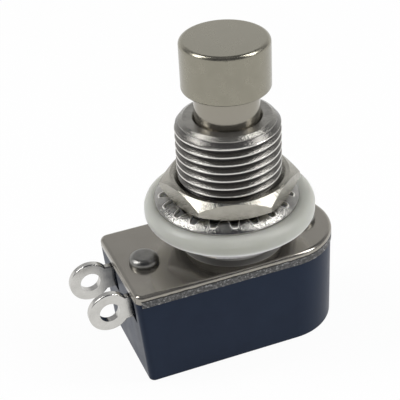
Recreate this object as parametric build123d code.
from build123d import *
import math
import os

# Panel-mounted foot switch: a sprung push button in a threaded bush, on a moulded base with two solder lugs.
# Millimetres, +Z up. The origin is on the bush axis at the base's underside, +X runs to the base's round end,
# and the lugs leave its flat end towards -X. The button is modelled at rest, which is up.

# Threaded bush, staked into the cover. The base and the hardware are sized from its thread
THREAD_DIAMETER = 12.0
THREAD_PITCH = 1.0
THREAD_DEPTH = 0.56
THREAD_CREST = 0.2
THREAD_LEAD = 0.28
PITCH_LINE_DEPTH = 0.325
BUSH_LENGTH = 17.0
BUSH_CHAMFER = 0.5
BUSH_MOUTH_CHAMFER = 0.4
SPIGOT_STEP = 0.9
SPIGOT_WALL = 1.2
SPIGOT_CLEARANCE = 0.05
STAKE_LIP = 0.5
STAKE_HEIGHT = 0.8
WEB_RISE = 0.4
WEB_THICKNESS = 2.6

# Base and cover, a D in plan: flat at the lugs, half round at the other end
BASE_SIDE_MARGIN = 0.8
LUG_END_MARGIN = 8.3
ROUND_END_MARGIN = 6.2
BASE_HEIGHT = 11.0
WALL = 1.0
FLOOR = 1.2
END_SLOPE = 0.8
END_CORNER_R = 0.7
END_LIP = 0.5
CAVITY_CORNER_R = 0.4
FOOT_EDGE_R = 0.3
COVER_THICKNESS = 1.5
COVER_OVERHANG = 0.1
COVER_CORNER_R = 1.0
COVER_ROLL_R = 0.45
SHEET_THICKNESS = 0.3
SHEET_LEDGE = 0.5
SHEET_GAP = 0.1

# Rivets through cover, sheet and base, one near each end
RIVET_LUG_INSET = 3.1
RIVET_ROUND_INSET = 3.45
RIVET_Y = -0.5
RIVET_SHANK_R = 0.9
RIVET_HEAD_R = 1.75
RIVET_HEAD_HEIGHT = 0.95
RIVET_HEAD_EDGE_R = 0.7
RIVET_TAIL_R = 1.5
RIVET_TAIL_HEIGHT = 0.6
RIVET_CLEARANCE = 0.05
TAIL_POCKET_GAP = 0.3
BOSS_WALL = 0.6

# Push button: cap, stem, shank and the pin that carries the contacts
CAP_DIAMETER = 10.0
CAP_HEIGHT = 5.7
CAP_RISE = 2.9
CAP_EDGE_R = 0.5
CAP_LOWER_EDGE_R = 0.2
STEM_DIAMETER = 7.4
STEM_CLEARANCE = 0.06
SHANK_DIAMETER = 3.9
SHANK_CLEARANCE = 0.05
PIN_DIAMETER = 2.0
PIN_CLEARANCE = 0.04
PIN_HEAD_R = 1.35
PIN_HEAD_HEIGHT = 0.4
BUTTON_TRAVEL = 2.6
OVER_TRAVEL = 0.52
END_PLAY = 0.05

# Retaining clip in a groove of the shank, under the bush's web
CLIP_THICKNESS = 0.6
CLIP_DIAMETER = 6.2
CLIP_GROOVE_DEPTH = 0.45
CLIP_FIT = 0.03
CLIP_MOUTH_DEG = 80.0

# Springs: the wire's centre line is a helix between two seats
RETURN_SPRING_LENGTH = 8.0
RETURN_SPRING_DIAMETER = 5.7
RETURN_SPRING_WIRE = 0.7
RETURN_SPRING_TURNS = 5.5
CONTACT_SPRING_LENGTH = 2.5
CONTACT_SPRING_DIAMETER = 4.4
CONTACT_SPRING_WIRE = 0.4
CONTACT_SPRING_TURNS = 3.5

# Hardware on the bush, from the cover upwards
NUT_WALL = 1.0
NUT_THICKNESS = 2.2
NUT_FACE_RELIEF = 0.15
NUT_CORNER_LAND = 0.6
NUT_THREAD_CLEARANCE = 0.03
NUT_MOUTH_GAP = 0.4
NUT_MOUTH_DEPTH = 0.4
NUT_END_GAP = 0.2
LOWER_NUT_RISE = 1.6
LOWER_NUT_TURN = -5.0
UPPER_NUT_TURN = -18.3
NYLON_BORE_CLEARANCE = 0.2
NYLON_WIDTH = 3.7
NYLON_THICKNESS = 2.05
NYLON_SHIFT_X = -0.15
NYLON_TOP_EDGE_R = 1.0
NYLON_LOWER_EDGE_R = 0.5
LOCK_TIP_CLEARANCE = 0.48
LOCK_TOOTH_REACH = 1.05
LOCK_RING_WIDTH = 0.87
LOCK_THICKNESS = 0.5
LOCK_TOOTH_WIDTH = 1.05
LOCK_TOOTH_TWIST = 27.5
LOCK_TEETH = 20
LOCK_TURN = 11.0
LOCK_SHIFT_X = -0.42
LOCK_SHIFT_Y = 0.1

# Solder lugs: one strip each, from the ring outside to the pad on the base's floor
STRIP_THICKNESS = 0.85
STRIP_WIDTH = 2.55
STRIP_UNDER_COVER = 0.35
SLOT_CLEARANCE = 0.05
SLOT_GAP = 1.2
EYE_DIAMETER = 4.9
EYE_HOLE_DIAMETER = 2.4
LUG_EDGE_R = 0.15
NECK_RISE = 0.45
FRONT_EYE_REACH = 2.5
REAR_EYE_REACH = 2.81
FRONT_LUG_Y = -3.8
LUG_SPACING = 6.35
JOG_START = 0.45
JOG_RUN = 2.0
JOG_BEND_R = 0.6
LEG_UNDER_THREAD = 0.5
LEG_WIDTH = 3.0
LEG_BEND_R = 0.9
PAD_END = 1.6
PAD_WIDTH = 2.6
PAD_CORNER_R = 0.6

# Contacts, carrier and bridge
CONTACT_R = 1.0
CONTACT_SHANK_R = 0.6
CONTACT_FIT = 0.03
CONTACT_EDGE_R = 0.2
CONTACT_OFFSET = 3.6
FIXED_CONTACT_HEIGHT = 0.5
MOVING_CONTACT_HEIGHT = 0.6
CLOSED_GAP = 0.02
BRIDGE_THICKNESS = 0.6
BRIDGE_HUB_R = 2.9
BRIDGE_ARM_WIDTH = 2.6
BRIDGE_ARM_REACH = 4.7
CARRIER_FLANGE_R = 3.4
CARRIER_FLANGE_HEIGHT = 1.0
CARRIER_SLEEVE_R = 1.6
BRIDGE_CLEARANCE = 0.15
BRIDGE_WASHER_R = 2.2
BRIDGE_WASHER_THICKNESS = 0.5

# Heights that several pieces share
cover_top = BASE_HEIGHT + COVER_THICKNESS
sheet_low = BASE_HEIGHT - SHEET_THICKNESS
bush_top = cover_top + BUSH_LENGTH
stake_low = BASE_HEIGHT - STAKE_HEIGHT
web_low = cover_top + WEB_RISE
web_top = web_low + WEB_THICKNESS
cap_low = bush_top + CAP_RISE
cap_top = cap_low + CAP_HEIGHT
stem_low = web_top + RETURN_SPRING_LENGTH
clip_top = web_low - END_PLAY
clip_low = clip_top - CLIP_THICKNESS
strip_top = BASE_HEIGHT - STRIP_UNDER_COVER
strip_low = strip_top - STRIP_WIDTH
neck_top = strip_top + NECK_RISE
lip_top = BASE_HEIGHT + END_LIP
pad_top = FLOOR + STRIP_THICKNESS
moving_contact_low = pad_top + FIXED_CONTACT_HEIGHT + CLOSED_GAP + BUTTON_TRAVEL - OVER_TRAVEL
bridge_low = moving_contact_low + MOVING_CONTACT_HEIGHT
bridge_top = bridge_low + BRIDGE_THICKNESS
bridge_washer_low = bridge_low - BRIDGE_WASHER_THICKNESS
pin_low = bridge_washer_low - PIN_HEAD_HEIGHT
flange_low = bridge_top + CONTACT_SPRING_LENGTH
carrier_top = flange_low + CARRIER_FLANGE_HEIGHT
lower_nut_low = cover_top + LOWER_NUT_RISE
nylon_low = lower_nut_low + NUT_THICKNESS
lock_low = nylon_low + NYLON_THICKNESS
twist = math.radians(LOCK_TOOTH_TWIST)
tooth_height = LOCK_TOOTH_WIDTH * math.sin(twist) + LOCK_THICKNESS * math.cos(twist)
upper_nut_low = lock_low + tooth_height

# Radii and places that several pieces share
thread_r = THREAD_DIAMETER / 2
half_width = thread_r + BASE_SIDE_MARGIN
lug_end = thread_r + LUG_END_MARGIN
round_end = thread_r + ROUND_END_MARGIN
pitch_line_r = thread_r - PITCH_LINE_DEPTH
spigot_r = thread_r - SPIGOT_STEP
stake_r = spigot_r + STAKE_LIP
stem_r = STEM_DIAMETER / 2
shank_r = SHANK_DIAMETER / 2
groove_r = shank_r - CLIP_GROOVE_DEPTH
pin_r = PIN_DIAMETER / 2
rivet_hole_r = RIVET_SHANK_R + RIVET_CLEARANCE
boss_r = rivet_hole_r + BOSS_WALL
tail_pocket_r = RIVET_TAIL_R + TAIL_POCKET_GAP
tail_pocket_depth = RIVET_TAIL_HEIGHT + TAIL_POCKET_GAP
rivet_lug_x = RIVET_LUG_INSET - lug_end
rivet_round_x = round_end - RIVET_ROUND_INSET
rivet_places = [(rivet_lug_x, RIVET_Y), (rivet_round_x, RIVET_Y)]
leg_near_x = LEG_UNDER_THREAD - thread_r
leg_far_x = leg_near_x - LEG_WIDTH
wall_strip_y = half_width - WALL - STRIP_THICKNESS / 2
pad_outer_y = half_width - WALL
pad_inner_y = CONTACT_OFFSET - PAD_WIDTH / 2
rear_lug_y = FRONT_LUG_Y + LUG_SPACING
lip_inner_x = SHEET_LEDGE - lug_end
shoulder_x = lip_inner_x - SLOT_CLEARANCE


def d_prism(inset, end_inset, low, high):
    """A D in plan between two heights, drawn in by inset, and by end_inset at its flat end."""
    half = half_width - inset
    round_x = round_end - half_width
    flat_x = end_inset - lug_end
    sides = Polyline((round_x, half), (flat_x, half), (flat_x, -half), (round_x, -half))
    end = ThreePointArc((round_x, -half), (round_x + half, 0), (round_x, half))
    return Pos(0, 0, low) * extrude(make_face([sides, end]), high - low)


def beyond_end(inset):
    """The space outside the base's sloping end wall, drawn in by inset."""
    foot_x = inset - lug_end + END_SLOPE
    top_x = foot_x - END_SLOPE * lip_top / BASE_HEIGHT
    outside_x = -lug_end - END_SLOPE
    side_view = Polyline((outside_x, 0), (foot_x, 0), (top_x, lip_top), (outside_x, lip_top), close=True)
    return extrude(Plane.XZ * make_face(side_view), half_width, both=True)


def round_end_corners(solid, radius):
    """Rounds the two upright corners at a solid's flat end."""
    upright = [edge for edge in solid.edges() if abs(edge.tangent_at(0).Z) > 0.9]
    return fillet(ShapeList(upright).group_by(Axis.X)[0], radius)


def rod(radius, low, high, x=0.0, y=0.0):
    """A round bar along Z between two heights."""
    return Pos(x, y, (low + high) / 2) * Cylinder(radius, high - low)


def block(x_low, x_high, y_low, y_high, z_low, z_high):
    """A box given by its limits."""
    middle = ((x_low + x_high) / 2, (y_low + y_high) / 2, (z_low + z_high) / 2)
    return Pos(*middle) * Box(x_high - x_low, y_high - y_low, z_high - z_low)


def turned(*profile):
    """A solid of revolution about the bush axis, from points of radius and height."""
    return revolve(Plane.XZ * make_face(Polyline(*profile, close=True)), Axis.Z)


def base_housing():
    """Moulded cup with a ledge for the sheet, a lip at its flat end, two rivet bosses and two lug slots."""
    shell = round_end_corners(d_prism(0, -END_LIP, 0, lip_top) - beyond_end(0), END_CORNER_R)
    shell = fillet(shell.edges().group_by(Axis.Z)[0], FOOT_EDGE_R)
    shell -= block(lip_inner_x, round_end, -half_width, half_width, BASE_HEIGHT, lip_top)
    cavity = d_prism(WALL, WALL, FLOOR, BASE_HEIGHT) - beyond_end(WALL)
    shell -= round_end_corners(cavity, CAVITY_CORNER_R)
    ledge = d_prism(SHEET_LEDGE, SHEET_LEDGE, sheet_low, BASE_HEIGHT)
    shell -= round_end_corners(ledge, CAVITY_CORNER_R)
    end_wall = WALL - lug_end
    bosses = block(-lug_end, rivet_lug_x, RIVET_Y - boss_r, RIVET_Y, FLOOR / 2, sheet_low)
    for x, y in rivet_places:
        bosses += rod(boss_r, 0, sheet_low, x, y)
        bosses += rod(tail_pocket_r + BOSS_WALL, 0, tail_pocket_depth + FLOOR, x, y)
    shell += bosses - beyond_end(WALL / 2)
    for x, y in rivet_places:
        shell -= rod(rivet_hole_r, 0, BASE_HEIGHT, x, y)
        shell -= rod(tail_pocket_r, 0, tail_pocket_depth, x, y)
    slot_low = strip_low - SLOT_CLEARANCE
    slot_inner_x = end_wall + END_SLOPE
    slot_outer_x = -lug_end - END_LIP
    for y in (FRONT_LUG_Y, rear_lug_y):
        near_y = y - STRIP_THICKNESS / 2 - SLOT_GAP
        far_y = y + STRIP_THICKNESS / 2 + SLOT_CLEARANCE
        shell -= block(slot_outer_x, slot_inner_x, near_y, far_y, slot_low, lip_top)
    return shell


def insulating_sheet():
    """Thin sheet on the base's ledge, open round the bush's staked rim and the rivets."""
    inset = SHEET_LEDGE + SHEET_GAP
    sheet = round_end_corners(d_prism(inset, inset, sheet_low, BASE_HEIGHT), CAVITY_CORNER_R)
    sheet -= rod(stake_r + SHEET_GAP, sheet_low, BASE_HEIGHT)
    for x, y in rivet_places:
        sheet -= rod(rivet_hole_r, sheet_low, BASE_HEIGHT, x, y)
    return sheet


def cover_plate():
    """Pressed steel cover with a rolled upper edge, stepped over the base's lip."""
    plate = d_prism(-COVER_OVERHANG, -COVER_OVERHANG, BASE_HEIGHT, cover_top)
    plate = round_end_corners(plate, COVER_CORNER_R)
    plate = fillet(plate.edges().group_by(Axis.Z)[-1], COVER_ROLL_R)
    step_x = lip_inner_x + SLOT_CLEARANCE
    side_y = half_width + COVER_OVERHANG
    plate -= block(-lug_end - COVER_OVERHANG, step_x, -side_y, side_y, BASE_HEIGHT, lip_top)
    plate -= rod(spigot_r + SPIGOT_CLEARANCE, BASE_HEIGHT, cover_top)
    for x, y in rivet_places:
        plate -= rod(rivet_hole_r, BASE_HEIGHT, cover_top, x, y)
    return plate


def cover_rivet(x):
    """Rivet with a low domed head on the cover and its tail set in the base's pocket."""
    head = rod(RIVET_HEAD_R, cover_top, cover_top + RIVET_HEAD_HEIGHT, x, RIVET_Y)
    head = fillet(head.edges().group_by(Axis.Z)[-1], RIVET_HEAD_EDGE_R)
    tail_low = tail_pocket_depth - RIVET_TAIL_HEIGHT
    tail = rod(RIVET_TAIL_R, tail_low, tail_pocket_depth, x, RIVET_Y)
    return head + rod(RIVET_SHANK_R, tail_low, cover_top, x, RIVET_Y) + tail


def thread_ridges(low, high):
    """Outline of the free thread: ridges one pitch apart, drawn as rings and not as a helix."""
    half = (THREAD_PITCH - THREAD_CREST) / 2
    count = int((high - THREAD_LEAD - low) / THREAD_PITCH)
    outline = [(thread_r, low)]
    for k in range(count, 0, -1):
        groove = high - THREAD_LEAD - (k - 0.5) * THREAD_PITCH
        outline += [(thread_r, groove - half), (thread_r - THREAD_DEPTH, groove), (thread_r, groove + half)]
    return outline + [(thread_r, high)]


def threaded_bush():
    """Bush with a web and a staked foot, plain at the pitch line up to the upper nut and ridged above."""
    bore_r = stem_r + STEM_CLEARANCE
    web_r = shank_r + SHANK_CLEARANCE
    foot_bore_r = spigot_r - SPIGOT_WALL
    thread_low = upper_nut_low + NUT_THICKNESS + NUT_END_GAP
    return turned(
        (web_r, web_low), (foot_bore_r, web_low), (foot_bore_r, stake_low), (stake_r, stake_low),
        (stake_r, BASE_HEIGHT), (spigot_r, BASE_HEIGHT), (spigot_r, cover_top),
        (pitch_line_r, cover_top), (pitch_line_r, thread_low - NUT_MOUTH_DEPTH),
        *thread_ridges(thread_low, bush_top - BUSH_CHAMFER), (thread_r - BUSH_CHAMFER, bush_top),
        (bore_r + BUSH_MOUTH_CHAMFER, bush_top), (bore_r, bush_top - BUSH_MOUTH_CHAMFER),
        (bore_r, web_top), (web_r, web_top))


def push_button():
    """Turned button in one piece: cap, stem, grooved shank, pin and the pin's swaged head."""
    cap_r = CAP_DIAMETER / 2
    groove_low = clip_low - CLIP_FIT
    groove_high = clip_top + CLIP_FIT
    button = turned(
        (0, pin_low), (PIN_HEAD_R, pin_low), (PIN_HEAD_R, bridge_washer_low), (pin_r, bridge_washer_low),
        (pin_r, carrier_top), (shank_r, carrier_top), (shank_r, groove_low), (groove_r, groove_low),
        (groove_r, groove_high), (shank_r, groove_high), (shank_r, stem_low), (stem_r, stem_low),
        (stem_r, cap_low), (cap_r, cap_low), (cap_r, cap_top), (0, cap_top))
    cap_edges = button.edges().filter_by(GeomType.CIRCLE).group_by(SortBy.RADIUS)[-1].sort_by(Axis.Z)
    button = fillet(cap_edges[-1], CAP_EDGE_R)
    lower_edges = button.edges().filter_by(GeomType.CIRCLE).group_by(SortBy.RADIUS)[-1].sort_by(Axis.Z)
    return fillet(lower_edges[0], CAP_LOWER_EDGE_R)


def retaining_clip():
    """Open ring that snaps into the shank's groove."""
    inner_r = groove_r + CLIP_FIT
    outer_r = CLIP_DIAMETER / 2
    ring = rod(outer_r, clip_low, clip_top) - rod(inner_r, clip_low, clip_top)
    half_mouth = math.radians(CLIP_MOUTH_DEG / 2)
    reach = CLIP_DIAMETER
    corner = (reach * math.cos(half_mouth), reach * math.sin(half_mouth))
    mouth = make_face(Polyline((0, 0), corner, (corner[0], -corner[1]), close=True))
    return ring - Pos(0, 0, clip_low) * extrude(mouth, CLIP_THICKNESS)


def coil_spring(low, length, diameter, wire, turns):
    """Coil of round wire whose ends rest on two seats."""
    rise = length - wire
    centre_line = Pos(0, 0, low + wire / 2) * Helix(rise / turns, rise, diameter / 2)
    section = Plane(centre_line @ 0, z_dir=centre_line % 0) * Circle(wire / 2)
    return sweep(section, centre_line, is_frenet=True)


def hex_nut(low, turn):
    """Thin hexagon nut with a chamfer on both faces and countersunk thread mouths."""
    flat_r = thread_r + NUT_WALL
    face_r = flat_r - NUT_FACE_RELIEF
    corner_r = flat_r / math.cos(math.radians(30))
    drop = (NUT_THICKNESS - NUT_CORNER_LAND) / 2
    bore_r = pitch_line_r + NUT_THREAD_CLEARANCE
    mouth_r = thread_r + NUT_MOUTH_GAP
    high = low + NUT_THICKNESS
    prism = extrude(RegularPolygon(flat_r, 6, major_radius=False), NUT_THICKNESS)
    prism = Pos(0, 0, low) * Rot(0, 0, turn) * prism
    ring = turned(
        (bore_r, low + NUT_MOUTH_DEPTH), (mouth_r, low), (face_r, low), (corner_r, low + drop),
        (corner_r, high - drop), (face_r, high), (mouth_r, high), (bore_r, high - NUT_MOUTH_DEPTH))
    return prism & ring


def nylon_washer():
    """Thick washer with a well rounded upper rim."""
    bore_r = thread_r + NYLON_BORE_CLEARANCE
    washer = rod(bore_r + NYLON_WIDTH, nylon_low, lock_low) - rod(bore_r, nylon_low, lock_low)
    rims = washer.edges().filter_by(GeomType.CIRCLE).group_by(SortBy.RADIUS)[-1].sort_by(Axis.Z)
    washer = fillet(rims[-1], NYLON_TOP_EDGE_R)
    rims = washer.edges().filter_by(GeomType.CIRCLE).group_by(SortBy.RADIUS)[-1].sort_by(Axis.Z)
    return Pos(NYLON_SHIFT_X, 0, 0) * fillet(rims[0], NYLON_LOWER_EDGE_R)


def lock_washer():
    """Flat ring with twisted teeth round its bore, and round slot roots between them."""
    tip_r = thread_r + LOCK_TIP_CLEARANCE
    root_r = tip_r + LOCK_TOOTH_REACH
    slot_r = (2 * math.pi * root_r / LOCK_TEETH - LOCK_TOOTH_WIDTH) / 2
    inner_r = root_r - slot_r
    high = lock_low + LOCK_THICKNESS
    ring = rod(root_r + LOCK_RING_WIDTH, lock_low, high) - rod(inner_r, lock_low, high)
    pitch = 360.0 / LOCK_TEETH
    tooth_length = inner_r - tip_r + slot_r
    tooth = Rot(LOCK_TOOTH_TWIST, 0, 0) * Box(tooth_length, LOCK_TOOTH_WIDTH, LOCK_THICKNESS)
    tooth = Pos(tip_r + tooth_length / 2, 0, lock_low + tooth_height / 2) * tooth
    slots = [Rot(0, 0, (k + 0.5) * pitch) * rod(slot_r, lock_low, high, inner_r) for k in range(LOCK_TEETH)]
    teeth = [Rot(0, 0, k * pitch) * tooth for k in range(LOCK_TEETH)]
    return Pos(LOCK_SHIFT_X, LOCK_SHIFT_Y, 0) * Rot(0, 0, LOCK_TURN) * ((ring - slots) + teeth)


def lug_profile(reach):
    """Side view of the lug outside the base: ring end and the neck behind it."""
    eye_x = -lug_end - reach
    eye = Pos(eye_x, (strip_low + neck_top) / 2)
    neck = Polyline(
        (eye_x, strip_low), (shoulder_x, strip_low), (shoulder_x, neck_top), (eye_x, neck_top), close=True)
    return make_face(neck) + eye * Circle(EYE_DIAMETER / 2) - eye * Circle(EYE_HOLE_DIAMETER / 2)


def terminal(entry_y, side, reach):
    """Solder lug in one strip: ring outside, run under the cover, leg down the wall and pad on the floor."""
    lug = extrude(Plane.XZ.offset(-entry_y) * lug_profile(reach), STRIP_THICKNESS / 2, both=True)
    outlines = [face.outer_wire().edges() for face in lug.faces().filter_by(Axis.Y)]
    rims = [edge for edges in outlines for edge in edges if edge.bounding_box().min.X < -lug_end]
    lug = fillet(rims, LUG_EDGE_R)
    wall_y = side * wall_strip_y
    jog_x = WALL - lug_end + JOG_START
    path = FilletPolyline(
        (shoulder_x, entry_y), (jog_x, entry_y), (jog_x + JOG_RUN, wall_y), (leg_near_x, wall_y),
        radius=JOG_BEND_R)
    run = Pos(0, 0, strip_low) * extrude(trace(path, STRIP_THICKNESS), STRIP_WIDTH)
    outer_y = side * pad_outer_y
    inner_y = side * (pad_outer_y - STRIP_THICKNESS)
    pad_y = side * pad_inner_y
    bend = make_face(Polyline(
        (outer_y, FLOOR), (outer_y, strip_top), (inner_y, strip_top), (inner_y, pad_top),
        (pad_y, pad_top), (pad_y, FLOOR), close=True))
    heel = bend.vertices().group_by(Axis.Y)[0].sort_by(Axis.X)
    bend = fillet(heel[0 if side < 0 else -1], LEG_BEND_R)
    leg = extrude(Plane.YZ.offset(leg_far_x) * bend, LEG_WIDTH)
    pad = block(leg_far_x, PAD_END, min(inner_y, pad_y), max(inner_y, pad_y), FLOOR, pad_top)
    pad = fillet(pad.edges().filter_by(Axis.Z).group_by(Axis.X)[-1], PAD_CORNER_R)
    strip = lug + run + leg + pad
    return strip - rod(CONTACT_SHANK_R + CONTACT_FIT, FLOOR, pad_top, 0, side * CONTACT_OFFSET)


def fixed_contact(side):
    """Contact rivet on a lug's pad."""
    y = side * CONTACT_OFFSET
    head = rod(CONTACT_R, pad_top, pad_top + FIXED_CONTACT_HEIGHT, 0, y)
    head = fillet(head.edges().group_by(Axis.Z)[-1], CONTACT_EDGE_R)
    return head + rod(CONTACT_SHANK_R, FLOOR, pad_top, 0, y)


def bridge_contacts():
    """The two contact rivets under the bridge."""
    contacts = []
    for side in (-1, 1):
        y = side * CONTACT_OFFSET
        head = rod(CONTACT_R, moving_contact_low, bridge_low, 0, y)
        head = fillet(head.edges().group_by(Axis.Z)[0], CONTACT_EDGE_R)
        contacts.append(head + rod(CONTACT_SHANK_R, bridge_low, bridge_top, 0, y))
    return Compound(children=contacts)


def contact_bridge():
    """Bar with a round hub that slides on the carrier's sleeve."""
    outline = Circle(BRIDGE_HUB_R) + SlotOverall(2 * BRIDGE_ARM_REACH, BRIDGE_ARM_WIDTH, rotation=90)
    outline -= Circle(CARRIER_SLEEVE_R + BRIDGE_CLEARANCE)
    for side in (-1, 1):
        outline -= Pos(0, side * CONTACT_OFFSET) * Circle(CONTACT_SHANK_R + CONTACT_FIT)
    return Pos(0, 0, bridge_low) * extrude(outline, BRIDGE_THICKNESS)


def contact_carrier():
    """Insulating flange and sleeve between the shank and the bridge."""
    hole_r = pin_r + PIN_CLEARANCE
    return turned(
        (hole_r, bridge_low), (CARRIER_SLEEVE_R, bridge_low), (CARRIER_SLEEVE_R, flange_low),
        (CARRIER_FLANGE_R, flange_low), (CARRIER_FLANGE_R, carrier_top), (hole_r, carrier_top))


def bridge_washer():
    """Washer between the carrier's sleeve and the pin's head, on which the bridge rests."""
    washer = rod(BRIDGE_WASHER_R, bridge_washer_low, bridge_low)
    return washer - rod(pin_r + PIN_CLEARANCE, bridge_washer_low, bridge_low)


nodes = {
    "base_housing": base_housing(),
    "insulating_sheet": insulating_sheet(),
    "cover_plate": cover_plate(),
    "rivet_lug_end": cover_rivet(rivet_lug_x),
    "rivet_round_end": cover_rivet(rivet_round_x),
    "threaded_bush": threaded_bush(),
    "lower_nut": hex_nut(lower_nut_low, LOWER_NUT_TURN),
    "nylon_washer": nylon_washer(),
    "lock_washer": lock_washer(),
    "upper_nut": hex_nut(upper_nut_low, UPPER_NUT_TURN),
    "terminal_front": terminal(FRONT_LUG_Y, -1, FRONT_EYE_REACH),
    "terminal_rear": terminal(rear_lug_y, 1, REAR_EYE_REACH),
    "fixed_contact_front": fixed_contact(-1),
    "fixed_contact_rear": fixed_contact(1),
    "push_button": push_button(),
    "retaining_clip": retaining_clip(),
    "return_spring": coil_spring(
        web_top, RETURN_SPRING_LENGTH, RETURN_SPRING_DIAMETER, RETURN_SPRING_WIRE, RETURN_SPRING_TURNS),
    "contact_carrier": contact_carrier(),
    "contact_spring": coil_spring(
        bridge_top, CONTACT_SPRING_LENGTH, CONTACT_SPRING_DIAMETER, CONTACT_SPRING_WIRE, CONTACT_SPRING_TURNS),
    "bridge_washer": bridge_washer(),
    "contact_bridge": contact_bridge(),
    "bridge_contacts": bridge_contacts(),
}

os.makedirs("parts", exist_ok=True)
for name, solid in nodes.items():
    export_step(solid, f"parts/{name}.step")
print(f"{len(nodes)} pieces, {cap_top:.1f} mm tall")
